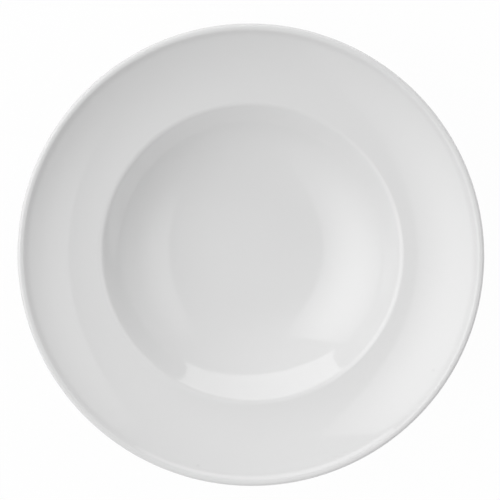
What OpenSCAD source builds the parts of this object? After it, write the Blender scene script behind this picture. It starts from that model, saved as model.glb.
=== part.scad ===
// Rimmed soup plate in glazed hotel porcelain.
// One pressed and fired porcelain body carries two separate glaze skins: the coat over the
// face, the rolled edge and the back, and the coat in the recess inside the foot ring.
// The standing edge of the foot ring is wiped bare before firing, so the two never meet.
// Lengths are in millimetres. The origin is on the table at the plate's axis, and +Z is up.

/* [Plate] */
// Diameter over the rolled edge, glaze included
plate_d = 240; // [200:1:320]
// Height from the table to the top of the rolled edge, glaze included
plate_h = 47; // [39:0.5:57]

/* [Well] */
// Diameter where the line of the wall meets the line of the rim
well_d = 156.5; // [130:0.5:190]
// Depth from that meeting point to the floor
well_depth = 24; // [20:0.5:29]
// Height of the upper wall, from that meeting point down to its bend
wall_h = 8.9; // [7.4:0.1:10.7]
// Slope of the upper wall above level, in degrees
wall_slope = 45; // [41:1:54]
// Slope of the bowl's side below the bend, in degrees
bowl_slope = 37; // [32:1:41]
// Radius of the curve that carries the floor up into the bowl's side, as far as that has room for it
well_curve_r = 67; // [50:1:80]
// Radius of the bend between the bowl's side and the upper wall
wall_bend_r = 25; // [10:1:30]
// Radius of the rounded lip between the wall and the rim, as far as the rim has room for it
lip_r = 5.5; // [3:0.1:6.5]

/* [Rim] */
// How much steeper the rim is at the rolled edge than at the lip, in degrees
rim_turn = 24; // [6:1:28]
// Share of the rim's width that its hollow curve takes up
rim_curve_share = 0.9; // [0.5:0.01:0.92]

/* [Rolled edge] */
// Radius of the roll's crown, towards the rim
roll_crown_r = 2.4; // [1.9:0.1:3]
// Radius of the roll's outer edge
roll_edge_r = 1.5; // [1.2:0.1:1.9]
// How far the roll hangs below the rim's back at the edge
roll_drop = 2.3; // [1.9:0.1:3]
// Angle between the roll's underside and the rim's back, in degrees
roll_under_turn = 32; // [28:1:38]
// Height of the roll above the rim beside it
roll_rise = 2.2; // [1.8:0.1:2.7]
// How much steeper the roll's inner flank is than a straight line from it to the lip, in degrees
roll_flank_turn = 21.5; // [18:0.5:26]
// Radius of the hollow where the rim turns up into that flank, as far as the rim has room for it
roll_hollow_r = 14; // [6:1:17]
// Radius under the roll, as far as the edge has room for it
roll_under_r = 2; // [1:0.1:2.2]
// Radius of the hollow where the roll's underside meets the rim's back, as far as there is room
roll_back_r = 4; // [2:0.5:6]

/* [Walls] */
// Thickness of the floor
floor_t = 5; // [4:0.1:6.5]
// Thickness of the wall of the well
wall_t = 4.6; // [3.8:0.1:5.6]
// Thickness of the rim
rim_t = 4; // [3.4:0.1:4.8]
// Radius of the hollow under the lip, as far as the wall's back has room for it
shoulder_r = 9; // [5:0.5:12]

/* [Foot ring] */
// Depth of the recess inside the foot ring
recess_depth = 3; // [2.4:0.1:4]
// Slope at which the belly runs into the foot ring, in degrees
belly_slope = 24; // [20:1:28]
// Gap between the end of the belly's curve and the foot ring's outer edge
foot_inset = 4.5; // [3.5:0.5:7]
// Width of the foot ring at the table, before its corners are rounded
foot_w = 4; // [3.2:0.1:5]
// Lean of the foot ring's outer side from upright, in degrees
foot_outer_lean = 12; // [5:1:18]
// Lean of the foot ring's inner side from upright, in degrees
foot_inner_lean = 20; // [10:1:28]
// Radius of the foot ring's two bare corners
foot_corner_r = 0.9; // [0.5:0.1:1]
// Radius where the foot ring grows out of the belly
foot_root_r = 3; // [1.5:0.5:3.5]
// Radius where the foot ring grows out of the recess, as far as its inner side has room for it
recess_root_r = 1.2; // [0.8:0.1:1.4]

/* [Glaze] */
// Thickness of the glaze
glaze_t = 0.3; // [0.2:0.05:0.4]
// Height above the table at which the glaze was wiped off the foot ring
glaze_line = 1.6; // [1.4:0.1:1.8]
// Radius of the glaze's rounded lower edge
glaze_edge_r = 0.2; // [0.1:0.05:0.2]

/* [Hidden] */
$fn = 180;
// Farthest that a round stretch of an outline may leave its true arc
arc_sag = 0.01;

// Heights and radii of the porcelain, under the glaze
edge_r = plate_d / 2 - glaze_t;
top_z = plate_h - glaze_t;
floor_z = recess_depth + floor_t;
lip_z = floor_z + well_depth;

// Face of the plate, from the axis outwards
lip = [well_d / 2, lip_z];
wall_bend = lip - wall_h * [1 / tan(wall_slope), 1];
bowl_foot = [wall_bend.x - (wall_bend.y - floor_z) / tan(bowl_slope), floor_z];
edge_top = [edge_r, top_z];
flank_slope = slope_of(edge_top - [roll_edge_r, 0] - lip) + roll_flank_turn;
roll_inner = edge_top - [roll_edge_r + reach(roll_crown_r, flank_slope), 0];
roll_foot = roll_inner - roll_rise * [1 / tan(flank_slope), 1];
rim_half = (roll_foot - lip) / 2;
rim_middle = lip + rim_half - tan(rim_turn / 2) * left_of(rim_half);
rim_curve_r = rim_curve_share * norm(rim_half) / sin(rim_turn / 2);
rim_end_room = (1 - rim_curve_share) * norm(rim_middle - lip);
roll_foot_turn = turn_at(rim_middle, roll_foot, roll_inner);
roll_foot_r = within(roll_hollow_r, rim_end_room, roll_foot_turn);
lip_turn = turn_at(wall_bend, lip, rim_middle);
lip_curve_r = within(lip_r, rim_end_room, lip_turn);
bend_turn = wall_slope - bowl_slope;
bowl_room = norm(wall_bend - bowl_foot) - reach(wall_bend_r, bend_turn);
well_r = within(well_curve_r, bowl_room, bowl_slope);

// Centre of the well's curve, which the belly shares
well_centre = bowl_foot + well_r * [-tan(bowl_slope / 2), 1];
belly_r = well_r + wall_t;
belly_turn = bowl_slope - belly_slope;

// Back of the plate, from the edge inwards
rim_middle_back = shifted(lip, rim_middle, roll_foot, rim_t, rim_t);
rim_outer_run = unit(roll_foot - rim_middle);
edge_back = meet(rim_middle_back, rim_outer_run, edge_top, [0, 1]);
edge_under = edge_back - [0, roll_drop];
roll_back = meet(rim_middle_back, rim_outer_run, edge_under, turned(rim_outer_run, -roll_under_turn));
under_turn = turn_at(edge_top, edge_under, roll_back);
under_r = within(roll_under_r, edge_top.y - edge_under.y - roll_edge_r, under_turn);
roll_back_room = norm(edge_under - roll_back) - reach(under_r, under_turn);
roll_back_hollow_r = within(roll_back_r, roll_back_room, roll_under_turn);
shoulder = shifted(wall_bend, lip, rim_middle, wall_t, rim_t);
bend_back = shifted(bowl_foot, wall_bend, lip, wall_t, wall_t);
bend_back_r = wall_bend_r + wall_t;
belly = well_centre + belly_r / cos(belly_turn / 2) * below(bowl_slope - belly_turn / 2);
shoulder_room = norm(shoulder - bend_back) - reach(bend_back_r, bend_turn);
hollow_r = within(shoulder_r, shoulder_room, lip_turn);
rim_back_room = norm(rim_middle_back - shoulder) - reach(hollow_r, lip_turn);
rim_back_r = within(rim_curve_r + rim_t, rim_back_room, rim_turn);

// Foot ring
belly_end = well_centre + belly_r * below(belly_slope);
foot_outer = [belly_end.x - foot_inset, 0];
foot_inner = foot_outer - [foot_w, 0];
outer_side = [sin(foot_outer_lean), cos(foot_outer_lean)];
inner_side = [-sin(foot_inner_lean), cos(foot_inner_lean)];
foot_root = meet(foot_outer, outer_side, belly_end, [cos(belly_slope), sin(belly_slope)]);
recess_root = meet(foot_inner, inner_side, [0, recess_depth], [1, 0]);
glaze_stop_outer = foot_outer + outer_side * glaze_line / outer_side.y;
glaze_stop_inner = foot_inner + inner_side * glaze_line / inner_side.y;
recess_turn = turn_at(foot_inner, recess_root, [0, recess_depth]);
recess_room = norm(recess_root - glaze_stop_inner) - glaze_edge_r - reach(glaze_t, recess_turn);
recess_r = within(recess_root_r, recess_room, recess_turn);

// Corners of the three stretches of the outline, each [radius, height, rounding].
// Outlines run with the porcelain on their right, so the glaze lies on their left.
coated_corners = [
    [0, floor_z, 0],
    with_rounding(bowl_foot, well_r),
    with_rounding(wall_bend, wall_bend_r),
    with_rounding(lip, lip_curve_r),
    with_rounding(rim_middle, rim_curve_r),
    with_rounding(roll_foot, roll_foot_r),
    with_rounding(roll_inner, roll_crown_r),
    with_rounding(edge_top, roll_edge_r),
    with_rounding(edge_under, under_r),
    with_rounding(roll_back, roll_back_hollow_r),
    with_rounding(rim_middle_back, rim_back_r),
    with_rounding(shoulder, hollow_r),
    with_rounding(bend_back, bend_back_r),
    with_rounding(belly, belly_r),
    with_rounding(foot_root, foot_root_r),
    with_rounding(glaze_stop_outer, 0)
];
bare_corners = [
    with_rounding(glaze_stop_outer, 0),
    with_rounding(foot_outer, foot_corner_r),
    with_rounding(foot_inner, foot_corner_r),
    with_rounding(glaze_stop_inner, 0)
];
recess_corners = [
    with_rounding(glaze_stop_inner, 0),
    with_rounding(recess_root, recess_r),
    [0, recess_depth, 0]
];

function unit(v) = v / norm(v);
function place(corner) = [corner.x, corner.y];
function with_rounding(point, rounding) = [point.x, point.y, rounding];

// Direction a quarter turn to the left of a run
function left_of(run) = [-run.y, run.x];

// Slope of a run above level, in degrees
function slope_of(run) = atan2(run.y, run.x);

// Length that a rounded corner takes up on each of its two runs
function reach(rounding, turn) = rounding * tan(abs(turn) / 2);

// Rounding of a corner, limited by the room along its run
function within(rounding, room, turn) = min(rounding, room / tan(abs(turn) / 2));

// Direction from the well's centre to where its curve has that slope
function below(slope) = [sin(slope), -cos(slope)];

// Signed turn of a path at its middle point, left positive, in degrees
function turn_at(before, here, after) =
    let (into = here - before, out = after - here)
    atan2(into.x * out.y - into.y * out.x, into * out);

// Point where two lines cross, each given by a point and a direction
function meet(p, p_run, q, q_run) =
    p + p_run * ((q - p) * left_of(q_run)) / (p_run * left_of(q_run));

// Corner of the same path moved to its right by one depth before it and another after it
function shifted(before, here, after, depth_before, depth_after) =
    let (into = unit(here - before), out = unit(after - here))
    meet(here - depth_before * left_of(into), into, here - depth_after * left_of(out), out);

// Points along the rounding of one corner, from tangent to tangent
function rounded(before, here, after, rounding) =
    let (
        turn = turn_at(before, here, after),
        side = turn > 0 ? 1 : -1,
        start = here - unit(here - before) * reach(rounding, turn),
        spoke = -side * rounding * left_of(unit(here - before)),
        steps = ceil(abs(turn) / (2 * acos(1 - arc_sag / rounding)))
    )
    rounding == 0
        ? [here]
        : [for (i = [0:steps]) start - spoke + turned(spoke, turn * i / steps)];
function turned(v, angle) = [v.x * cos(angle) - v.y * sin(angle), v.x * sin(angle) + v.y * cos(angle)];

// Points of a path through a list of corners, with sharp ends
function path(corners) = [
    place(corners[0]),
    for (i = [1:len(corners) - 2])
        each rounded(place(corners[i - 1]), place(corners[i]), place(corners[i + 1]), corners[i][2]),
    place(corners[len(corners) - 1])
];

// The corners of a path moved to its left by the glaze's thickness
function glazed(corners) =
    let (last = len(corners) - 1)
    [for (i = [0:last])
        let (
            here = place(corners[i]),
            before = i == 0 ? here : place(corners[i - 1]),
            after = i == last ? here : place(corners[i + 1]),
            into = unit(i == 0 ? after - here : here - before),
            out = unit(i == last ? here - before : after - here),
            turn = i == 0 || i == last ? 0 : turn_at(before, here, after),
            shift = glaze_t * (left_of(into) + left_of(out)) / (1 + into * out)
        )
        with_rounding(here + shift, turn == 0 ? 0 : corners[i][2] - glaze_t * sign(turn))
    ];

function reverse(list) = [for (i = [len(list) - 1:-1:0]) list[i]];

// A glaze corner list with its wiped end rounded, closed onto the porcelain
function wiped_last(corners, stop) =
    let (last = len(corners) - 1)
    [for (i = [0:last]) i == last ? with_rounding(place(corners[i]), glaze_edge_r) : corners[i], stop];

// Porcelain: face, rolled edge, back, foot ring and recess as one fired piece
module porcelain_body() {
    color("seashell")
    rotate_extrude()
    polygon(concat(path(coated_corners), path(bare_corners), path(recess_corners)));
}

// Glaze over the face, the rolled edge and the back, down to the wiped foot ring
module glaze_coat() {
    outer = wiped_last(glazed(coated_corners), with_rounding(glaze_stop_outer, 0));
    color("white")
    rotate_extrude()
    polygon(concat(path(outer), reverse(path(coated_corners))));
}

// Glaze in the recess inside the foot ring
module recess_glaze() {
    outer = wiped_last(reverse(glazed(recess_corners)), with_rounding(glaze_stop_inner, 0));
    color("white")
    rotate_extrude()
    polygon(concat(path(outer), path(recess_corners)));
}

porcelain_body();
glaze_coat();
recess_glaze();
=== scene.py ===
import cmath
import math

import bmesh
import bpy
from mathutils import Matrix, Quaternion, Vector


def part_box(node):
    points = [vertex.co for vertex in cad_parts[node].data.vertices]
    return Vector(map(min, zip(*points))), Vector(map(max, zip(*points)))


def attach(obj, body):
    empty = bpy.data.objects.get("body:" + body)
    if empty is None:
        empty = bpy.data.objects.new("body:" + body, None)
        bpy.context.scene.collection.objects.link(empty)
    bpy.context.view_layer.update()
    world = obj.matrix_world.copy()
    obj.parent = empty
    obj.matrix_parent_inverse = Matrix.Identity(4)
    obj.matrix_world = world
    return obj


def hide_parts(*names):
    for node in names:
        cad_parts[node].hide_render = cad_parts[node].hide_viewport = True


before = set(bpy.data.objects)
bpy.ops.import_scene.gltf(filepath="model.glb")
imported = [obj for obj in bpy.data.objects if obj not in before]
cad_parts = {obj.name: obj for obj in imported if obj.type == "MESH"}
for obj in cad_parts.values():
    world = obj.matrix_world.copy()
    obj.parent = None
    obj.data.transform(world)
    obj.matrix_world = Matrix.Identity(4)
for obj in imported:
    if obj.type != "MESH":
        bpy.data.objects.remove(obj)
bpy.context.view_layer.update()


# Fired body: one lump of porcelain clay, pressed and turned to the floor, the wall of the well, the
# lip, the dished rim, the rolled edge and the foot ring, then fired hard. Glaze covers all of it
# but the foot ring's standing edge, which was wiped so that the plate wouldn't stick in the kiln.
MM = 0.001
body_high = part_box("porcelain_body")[1]
edge_r = body_high.x / MM
top_z = body_high.z / MM

# Well, from the floor up to the lip, in millimetres and radians
well_d = 156.5
well_depth = 24
wall_h = 8.9
wall_slope = math.radians(45)
bowl_slope = math.radians(37)
well_curve_r = 67
wall_bend_r = 25
lip_r = 5.5

# Hollow rim, and the rolled edge that it turns up into
rim_turn = math.radians(24)
rim_curve_share = 0.9
roll_crown_r = 2.4
roll_edge_r = 1.5
roll_drop = 2.3
roll_under_turn = math.radians(32)
roll_rise = 2.2
roll_flank_turn = math.radians(21.5)
roll_hollow_r = 14
roll_under_r = 2
roll_back_r = 4

# Thicknesses, the hollow under the lip and the foot ring
floor_t = 5
wall_t = 4.6
rim_t = 4
shoulder_r = 9
recess_depth = 3
belly_slope = math.radians(24)
foot_inset = 4.5
foot_w = 4
foot_outer_lean = math.radians(12)
foot_inner_lean = math.radians(20)
foot_corner_r = 0.9
foot_root_r = 3
recess_root_r = 1.2
glaze_line = 1.6

# Farthest that a round stretch may leave its true arc, longest straight step, and steps per turn
arc_sag = 0.004
straight_step = 4
lathe_steps = 192
sharp_angle = math.radians(35)


def unit(run):
    """The same direction with a length of one."""
    return run / abs(run)


def turn_at(before, here, after):
    """Turn of a path at its middle point, left positive."""
    return cmath.phase((after - here) / (here - before))


def reach(rounding, turn):
    """Length that a rounded corner takes up on each of its two runs."""
    return rounding * math.tan(abs(turn) / 2)


def cross(a, b):
    """Cross product of two runs."""
    return (a.conjugate() * b).imag


def meet(p, p_run, q, q_run):
    """Point where two lines cross, each given by a point and a direction."""
    return p + p_run * cross(q - p, q_run) / cross(p_run, q_run)


def shifted(before, here, after, depth_before, depth_after):
    """Corner of the same path moved to its right by one depth before it and another after it."""
    into = unit(here - before)
    out = unit(after - here)
    return meet(here - 1j * into * depth_before, into, here - 1j * out * depth_after, out)


# The outline's corners, each a point of radius and height held as one complex number
floor_z = recess_depth + floor_t
lip = complex(well_d / 2, floor_z + well_depth)
wall_bend = lip - wall_h * complex(1 / math.tan(wall_slope), 1)
bowl_foot = complex(wall_bend.real - (wall_bend.imag - floor_z) / math.tan(bowl_slope), floor_z)
edge_top = complex(edge_r, top_z)
flank_slope = cmath.phase(edge_top - roll_edge_r - lip) + roll_flank_turn
roll_inner = edge_top - roll_edge_r - reach(roll_crown_r, flank_slope)
roll_foot = roll_inner - roll_rise * complex(1 / math.tan(flank_slope), 1)
rim_half = (roll_foot - lip) / 2
rim_middle = lip + rim_half - 1j * rim_half * math.tan(rim_turn / 2)
rim_curve_r = rim_curve_share * abs(rim_half) / math.sin(rim_turn / 2)
lip_turn = turn_at(wall_bend, lip, rim_middle)

well_centre = bowl_foot + well_curve_r * complex(-math.tan(bowl_slope / 2), 1)
belly_r = well_curve_r + wall_t
belly_turn = bowl_slope - belly_slope

rim_middle_back = shifted(lip, rim_middle, roll_foot, rim_t, rim_t)
rim_outer_run = unit(roll_foot - rim_middle)
edge_back = meet(rim_middle_back, rim_outer_run, edge_top, 1j)
edge_under = edge_back - 1j * roll_drop
roll_under_run = rim_outer_run * cmath.rect(1, -roll_under_turn)
roll_back = meet(rim_middle_back, rim_outer_run, edge_under, roll_under_run)
shoulder = shifted(wall_bend, lip, rim_middle, wall_t, rim_t)
bend_back = shifted(bowl_foot, wall_bend, lip, wall_t, wall_t)
rim_back_room = abs(rim_middle_back - shoulder) - reach(shoulder_r, lip_turn)
rim_back_r = min(rim_curve_r + rim_t, rim_back_room / math.tan(rim_turn / 2))
belly_out = belly_r / math.cos(belly_turn / 2)
belly = well_centre - 1j * cmath.rect(belly_out, bowl_slope - belly_turn / 2)

belly_end = well_centre - 1j * cmath.rect(belly_r, belly_slope)
foot_outer = complex(belly_end.real - foot_inset, 0)
foot_inner = foot_outer - foot_w
outer_side = 1j * cmath.rect(1, -foot_outer_lean)
inner_side = 1j * cmath.rect(1, foot_inner_lean)
recess_middle = complex(0, recess_depth)
foot_root = meet(foot_outer, outer_side, belly_end, cmath.rect(1, belly_slope))
recess_root = meet(foot_inner, inner_side, recess_middle, 1)
stop_outer = foot_outer + outer_side * glaze_line / outer_side.imag
stop_inner = foot_inner + inner_side * glaze_line / inner_side.imag

# Each stretch runs with the porcelain on its right, as pairs of a corner and its rounding
coated_corners = [
    (complex(0, floor_z), 0),
    (bowl_foot, well_curve_r),
    (wall_bend, wall_bend_r),
    (lip, lip_r),
    (rim_middle, rim_curve_r),
    (roll_foot, roll_hollow_r),
    (roll_inner, roll_crown_r),
    (edge_top, roll_edge_r),
    (edge_under, roll_under_r),
    (roll_back, roll_back_r),
    (rim_middle_back, rim_back_r),
    (shoulder, shoulder_r),
    (bend_back, wall_bend_r + wall_t),
    (belly, belly_r),
    (foot_root, foot_root_r),
    (stop_outer, 0),
]
bare_corners = [(stop_outer, 0), (foot_outer, foot_corner_r), (foot_inner, foot_corner_r), (stop_inner, 0)]
recess_corners = [(stop_inner, 0), (recess_root, recess_root_r), (recess_middle, 0)]


def path(corners):
    """Points along a list of corners, round where they are rounded and sharp at both ends."""
    points = [corners[0][0]]
    for (before, _), (here, rounding), (after, _) in zip(corners, corners[1:], corners[2:]):
        if rounding == 0:
            points.append(here)
            continue
        turn = turn_at(before, here, after)
        into = unit(here - before)
        spoke = 1j * into * math.copysign(rounding, turn)
        centre = here - into * reach(rounding, turn) + spoke
        steps = math.ceil(abs(turn) / (2 * math.acos(1 - arc_sag / rounding)))
        points += [centre - spoke * cmath.rect(1, turn * i / steps) for i in range(steps + 1)]
    return points + [corners[-1][0]]


def filled(points):
    """The same points with others set between those that are far apart, and none twice."""
    found = [points[0]]
    for start, end in zip(points, points[1:]):
        steps = math.ceil(round(abs(end - start) / straight_step, 6))
        found += [start + (end - start) * (i + 1) / steps for i in range(steps)]
    return found


def turned_solid(name, outline, material):
    """A closed solid, turned about the plate's axis from an outline that starts and ends on it."""
    solid = bmesh.new()
    rings = []
    for point in filled(outline):
        spots = [cmath.rect(point.real, 2 * math.pi * k / lathe_steps) for k in range(lathe_steps)]
        if point.real == 0:
            spots = [0j]
        rings.append([solid.verts.new((s.real * MM, s.imag * MM, point.imag * MM)) for s in spots])
    for here, after in zip(rings, rings[1:]):
        for k in range(lathe_steps):
            corners = [here[k % len(here)], after[k % len(after)]]
            corners += [after[(k + 1) % len(after)], here[(k + 1) % len(here)]]
            solid.faces.new(list(dict.fromkeys(corners))).smooth = True
    mesh = bpy.data.meshes.new(name)
    solid.to_mesh(mesh)
    solid.free()
    mesh.set_sharp_from_angle(angle=sharp_angle)
    mesh.materials.append(material)
    piece = bpy.data.objects.new(name, mesh)
    bpy.context.scene.collection.objects.link(piece)
    return piece


class Wire:
    """A socket of a node tree, so that what a surface looks like is written as sums."""

    def __init__(self, tree, socket=None):
        self.tree = tree
        self.socket = socket

    def node(self, kind, settings=(), inputs=(), output=0):
        """A new node: its settings first, then the values or links of its sockets."""
        made = self.tree.nodes.new(kind)
        for name, value in dict(settings).items():
            setattr(made, name, value)
        for name, value in dict(inputs).items():
            if isinstance(value, Wire):
                self.tree.links.new(value.socket, made.inputs[name])
            else:
                made.inputs[name].default_value = value
        return Wire(self.tree, made.outputs[output] if len(made.outputs) else None)

    def out(self, name):
        """Another output of the node that this socket belongs to."""
        return Wire(self.tree, self.socket.node.outputs[name])

    def math(self, operation, first, second):
        return self.node("ShaderNodeMath", {"operation": operation}, {0: first, 1: second})

    def __add__(self, other):
        return self.math("ADD", self, other)

    def __sub__(self, other):
        return self.math("SUBTRACT", self, other)

    def __rsub__(self, other):
        return self.math("SUBTRACT", other, self)

    def __mul__(self, other):
        return self.math("MULTIPLY", self, other)

    def __pow__(self, other):
        return self.math("POWER", self, other)

    def __rpow__(self, other):
        return self.math("POWER", other, self)

    __radd__ = __add__
    __rmul__ = __mul__

    def at_least(self, low):
        return self.math("MAXIMUM", self, low)

    def step(self, low, high):
        """Eases from 0 at low to 1 at high."""
        ends = {"Value": self, "From Min": low, "From Max": high}
        return self.node("ShaderNodeMapRange", {"interpolation_type": "SMOOTHSTEP"}, ends)

    def noise(self, size, detail=2):
        """Soft random patches of about that size in metres, from 0 to 1, with this socket as the place."""
        return self.node("ShaderNodeTexNoise", (), {"Vector": self, "Scale": 1 / size, "Detail": detail})

    def mixed(self, low, high):
        """Colour that goes from one to the other with this socket as the share."""
        return self.node("ShaderNodeMix", {"data_type": "RGBA"}, {0: self, 6: low, 7: high}, 2)


def grey(level, warmth=0):
    """A neutral colour, moved a little towards red if the warmth is above zero."""
    return (level + warmth, level, level - warmth, 1)


def new_material(name):
    """An empty material, and the wire that its nodes start from."""
    material = bpy.data.materials.new(name)
    material.use_nodes = True
    material.node_tree.nodes.clear()
    return material, Wire(material.node_tree)


# Bare clay: two tones in clouds, a warmer tint up to the glaze line, grey patches where it stands, a
# fine grain and a matt finish that is a little smoother where it is rubbed
clay_tones = (0.74, 0.8)
clay_warmth = 0.012
clay_cloud = 6 * MM
tint_tone = 0.66
tint_warmth = 0.05
tint_share = 0.35
tint_start = 1.1 * MM
rubbed_tone = 0.5
rubbed_share = 0.3
rubbed_height = 0.25 * MM
rubbed_patch = 2.5 * MM
rubbed_edge = (0.5, 0.7)
grain_size = 0.5 * MM
grain_detail = 4
grain_height = 0.03 * MM
clay_roughness = 0.72
rubbed_gloss = 0.2


def bare_porcelain():
    """Unglazed fired porcelain: matt and finely grained, rubbed grey where the plate stands."""
    material, start = new_material("bare_porcelain")
    place = start.node("ShaderNodeTexCoord", output="Object")
    height = place.node("ShaderNodeSeparateXYZ", (), {0: place}, "Z")
    clay = place.noise(clay_cloud).mixed(*[grey(tone, clay_warmth) for tone in clay_tones])
    tinted = height.step(tint_start, glaze_line * MM) * tint_share
    clay = tinted.mixed(clay, grey(tint_tone, tint_warmth))
    patches = place.noise(rubbed_patch).step(*rubbed_edge)
    rubbed = (1 - height.step(0, rubbed_height)) * patches * rubbed_share
    clay = rubbed.mixed(clay, grey(rubbed_tone))
    grain = place.noise(grain_size, grain_detail)
    bump = place.node("ShaderNodeBump", (), {"Height": grain, "Distance": grain_height})
    shader = place.node("ShaderNodeBsdfPrincipled", (), {
        "Base Color": clay,
        "Roughness": clay_roughness - rubbed_gloss * rubbed,
        "Normal": bump,
    })
    shader.node("ShaderNodeOutputMaterial", (), {"Surface": shader})
    return material


body_outline = path(coated_corners) + path(bare_corners)[1:] + path(recess_corners)[1:]
body = turned_solid("plate_body", body_outline, bare_porcelain())
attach(body, "root")
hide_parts("porcelain_body")


# Glaze coat: a skin of clear glass over the face, the rolled edge and the back, put on as a liquid
# and melted onto the white body. It levels out almost flat, with a faint waviness and a few specks,
# and ends in a soft bead where the foot ring was wiped.
glaze_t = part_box("glaze_coat")[1].z / MM - top_z
glaze_edge_r = 0.2

# Its white and how far that drifts in broad patches, its gloss, and the slow and fine waves in it
glaze_white = 0.82
white_drift = 0.006
white_patch = 45 * MM
glaze_ior = 1.52
smoothest = 0.04
gloss_drift = 0.03
gloss_patch = 12 * MM
slow_wave = 30 * MM
fine_wave = 4 * MM
fine_share = 0.1
wave_height = 0.01 * MM

# Faint specks of iron in the clay under the rim's glaze: places to the right and away, in millimetres
speck_places = [(94.9, -58.4), (-27.3, -109.8)]
speck_r = 1.4
speck_core = 0.2
speck_tone = 0.785


def glazed(corners):
    """The corners of a path moved to its left by the glaze's thickness."""
    points = [corner for corner, rounding in corners]
    runs = [unit(after - here) for here, after in zip(points, points[1:])]
    found = []
    for (here, rounding), into, out in zip(corners, runs[:1] + runs, runs + runs[-1:]):
        turn = cmath.phase(out / into)
        inside = math.copysign(glaze_t, turn) if rounding else 0
        shift = 1j * glaze_t * (into + out) / (1 + (into.conjugate() * out).real)
        found.append((here + shift, rounding - inside))
    return found


def wiped(corners, stop):
    """A glaze path with its last corner rounded and closed onto the porcelain."""
    return path(corners[:-1] + [(corners[-1][0], glaze_edge_r), (stop, 0)])


def face_height(radius):
    """Height of the glaze on the plate's face at a radius."""
    skin = path(glazed(coated_corners))
    start, end = next((a, b) for a, b in zip(skin, skin[1:]) if a.real <= radius < b.real)
    return start.imag + (end.imag - start.imag) * (radius - start.real) / (end.real - start.real)


def fired_glaze():
    """Glossy clear glaze on white porcelain, with a few specks in the clay under it."""
    material, start = new_material("fired_glaze")
    place = start.node("ShaderNodeTexCoord", output="Object")
    white = place.noise(white_patch).mixed(grey(glaze_white - white_drift), grey(glaze_white + white_drift))
    for x, y in speck_places:
        speck = Vector((x, y, face_height(math.hypot(x, y)))) * MM
        away = place.node("ShaderNodeVectorMath", {"operation": "DISTANCE"}, {0: place, 1: speck}, "Value")
        white = away.step(speck_core * MM, speck_r * MM).mixed(grey(speck_tone), white)
    waves = place.noise(slow_wave, 0) * (1 - fine_share) + place.noise(fine_wave, 1) * fine_share
    bump = place.node("ShaderNodeBump", (), {"Height": waves, "Distance": wave_height})
    shader = place.node("ShaderNodeBsdfPrincipled", (), {
        "Base Color": white,
        "Roughness": smoothest + gloss_drift * place.noise(gloss_patch),
        "IOR": glaze_ior,
        "Normal": bump,
    })
    shader.node("ShaderNodeOutputMaterial", (), {"Surface": shader})
    return material


glaze_finish = fired_glaze()
coat_outline = wiped(glazed(coated_corners), stop_outer) + path(coated_corners)[-2::-1]
coat = turned_solid("plate_glaze", coat_outline, glaze_finish)
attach(coat, "root")
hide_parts("glaze_coat")


# Recess glaze: the same glass inside the foot ring, poured or dipped with the rest and parted from the
# coat outside by the wiped standing edge. It ends in the same soft bead on the ring's inner side.
recess_skin = wiped(glazed(recess_corners)[::-1], stop_inner)
recess_outline = path(recess_corners)[::-1] + recess_skin[-2::-1]
recess = turned_solid("plate_recess_glaze", recess_outline, glaze_finish)
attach(recess, "root")
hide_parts("recess_glaze")


# Studio floor: a white sweep, just under the foot ring, that shows as white paper with the plate's
# soft shadow on it. From below it is clear, so that the foot ring can be looked at.
floor_r = 12
floor_steps = 96
floor_gap = 0.2 * MM
paper_grey = 0.9
paper_share = 0.97

floor_mesh = bpy.data.meshes.new("studio_floor")
floor_disc = bmesh.new()
bmesh.ops.create_circle(floor_disc, cap_ends=True, segments=floor_steps, radius=floor_r)
floor_disc.to_mesh(floor_mesh)
floor_disc.free()
floor = bpy.data.objects.new("studio_floor", floor_mesh)
floor.location.z = -floor_gap
bpy.context.scene.collection.objects.link(floor)

paper, paper_start = new_material("white_paper")
rays = paper_start.node("ShaderNodeLightPath")
seen = rays.out("Is Camera Ray") + rays.out("Is Glossy Ray") + rays.out("Is Transmission Ray")
matt = paper_start.node("ShaderNodeBsdfDiffuse", (), {"Color": grey(paper_grey)})
white = paper_start.node("ShaderNodeEmission", (), {"Color": grey(1), "Strength": 1})
lit = paper_start.node("ShaderNodeMixShader", (), {0: seen * paper_share, 1: matt, 2: white})
behind = paper_start.node("ShaderNodeNewGeometry", output="Backfacing")
clear = paper_start.node("ShaderNodeBsdfTransparent")
sheet = paper_start.node("ShaderNodeMixShader", (), {0: behind, 1: lit, 2: clear})
paper_start.node("ShaderNodeOutputMaterial", (), {"Surface": sheet})
floor_mesh.materials.append(paper)


# Studio light: a large softbox at the left, with a second, weaker bulb near its top, a dimmer one at
# the right, and an even, narrow one at the back. The glaze mirrors them in the well and on the rim.
softbox_distance = 2.5


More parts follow.
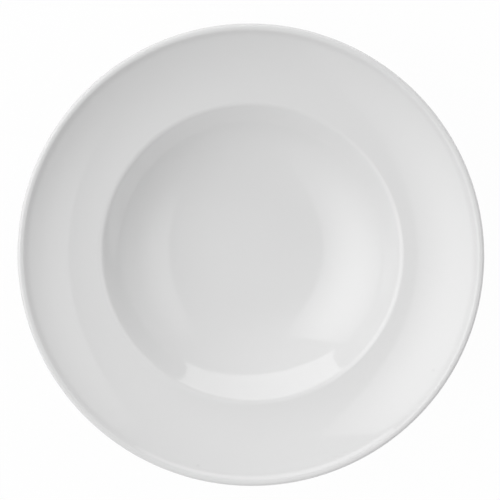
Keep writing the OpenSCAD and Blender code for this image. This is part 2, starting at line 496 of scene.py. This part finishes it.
def softbox(name, facing, sides, even, spots=()):
    """A soft lamp above the plate, with sizes and places as shares of its distance.

    It faces the plate from a direction turned from +X, tipped from overhead and rolled, in degrees. Its
    sides lie to the left, right, bottom and top of that direction. An even radiance comes from all over
    it. Each spot adds its own, at a place across and up, with a size both ways and a power that flattens
    its middle.
    """
    azimuth, zenith, roll = [math.radians(angle) for angle in facing]
    left, right, bottom, top = sides
    width = softbox_distance * (right - left)
    height = softbox_distance * (top - bottom)
    lamp = bpy.data.lights.new(name, "AREA")
    lamp.shape = "RECTANGLE"
    lamp.size = width
    lamp.size_y = height
    brightest = even + sum(spot[0] for spot in spots)
    lamp.energy = brightest * math.pi * width * height
    lamp.use_nodes = True
    lamp.node_tree.nodes.clear()
    start = Wire(lamp.node_tree)
    place = start.node("ShaderNodeNewGeometry", output="Parametric")
    place = start.node("ShaderNodeSeparateXYZ", (), {0: place})
    glow = even / brightest
    for radiance, (place_across, place_up), (size_across, size_up), power in spots:
        across = (left + (right - left) * place.out("X") - place_across) * (1 / size_across)
        up = (bottom + (top - bottom) * place.out("Y") - place_up) * (1 / size_up)
        glow += radiance / brightest * math.exp(-1) ** (across * across + up * up) ** power
    light = start.node("ShaderNodeEmission", (), {"Color": grey(1), "Strength": glow})
    start.node("ShaderNodeOutputLight", (), {"Surface": light})
    level = math.sin(zenith)
    towards = Vector((level * math.cos(azimuth), level * math.sin(azimuth), math.cos(zenith)))
    turn = towards.to_track_quat("Z", "Y") @ Quaternion((0, 0, 1), roll)
    middle = Vector(((left + right) / 2, (bottom + top) / 2, 0))
    box = bpy.data.objects.new(name, lamp)
    box.location = softbox_distance * (towards + turn @ middle)
    box.rotation_euler = turn.to_euler()
    box.visible_camera = False
    bpy.context.scene.collection.objects.link(box)


softbox(
    "left_softbox",
    facing=(185.3, 50.9, -10),
    sides=(-0.78, 1.45, -0.69, 0.65),
    even=0.21,
    spots=[(1.79, (-0.17, 0.095), (0.69, 0.45), 1.24), (0.3, (-0.2, 0.45), (0.6, 0.35), 1)],
)
softbox(
    "right_softbox",
    facing=(1.6, 48.1, -0.8),
    sides=(-1.3, 0.61, -0.31, 0.43),
    even=0.14,
    spots=[(0.92, (-0.05, 0.255), (0.52, 0.3), 1.25)],
)
softbox("back_softbox", facing=(97, 68.8, 0), sides=(-0.75, 0.75, -0.18, 0.18), even=1.76)


# Dim room around the lights: its level, what is added low down, at the horizon and right overhead,
# how much it grows towards +X and +Y, high up and for each step lower, and its two dark patches, each
# with a direction, how closely it lies around it and how much darker it is.
room_level = 0.53
room_low = -0.085
room_horizon = -0.3
horizon_power = 6
room_overhead = -0.275
overhead_size = 0.04
room_east = (0.29, -0.37)
room_north = (-0.33, 0.47)
dark_patches = [((0.64, -0.64, 0.42), 8, 0.52), ((-0.4, -0.1, 0.91), 14, 0.36)]

room = bpy.data.worlds.new("studio_room")
room.use_nodes = True
room.node_tree.nodes.clear()
room_start = Wire(room.node_tree)
direction = room_start.node("ShaderNodeTexCoord", output="Generated")
parts = room_start.node("ShaderNodeSeparateXYZ", (), {0: direction})
east, north, lowness = parts.out("X"), parts.out("Y"), 1 - parts.out("Z")
overhead = math.exp(-1 / overhead_size) ** lowness
room_light = room_level + room_low * lowness + room_horizon * lowness ** horizon_power
room_light += room_overhead * overhead
room_light += (room_east[0] + room_east[1] * lowness) * east
room_light += (room_north[0] + room_north[1] * lowness) * north
for towards, closeness, depth in dark_patches:
    both = {0: direction, 1: towards}
    facing = room_start.node("ShaderNodeVectorMath", {"operation": "DOT_PRODUCT"}, both, "Value")
    room_light -= depth * facing.at_least(0) ** closeness
air = room_start.node("ShaderNodeBackground", (), {"Color": room_light.at_least(0), "Strength": 1})
room_start.node("ShaderNodeOutputWorld", (), {"Surface": air})
bpy.context.scene.world = room


# Camera: high over the plate, a little behind it and to the right, and looking down at it from a
# metre. The aim and the width of the frame put the plate's edge where the photo has it.
camera_lean = (math.radians(1.7), math.radians(8))
camera_distance = 1.0
camera_aim = Vector((-0.1, 3.9, 41.45)) * MM
frame_half = 128.87 * MM
sensor_width = 36

view = bpy.data.cameras.new("photo_camera")
view.sensor_width = sensor_width
view.lens = sensor_width / 2 * camera_distance / frame_half
camera = bpy.data.objects.new("photo_camera", view)
back_x, back_y = [math.sin(lean) for lean in camera_lean]
back = Vector((back_x, back_y, math.sqrt(1 - back_x ** 2 - back_y ** 2)))
camera_right = Vector((0, 1, 0)).cross(back).normalized()
camera.location = camera_aim + camera_distance * back
camera.rotation_euler = Matrix((camera_right, back.cross(camera_right), back)).transposed().to_euler()
bpy.context.scene.collection.objects.link(camera)
bpy.context.scene.camera = camera
bpy.context.scene.view_settings.view_transform = "Standard"


bpy.context.view_layer.update()
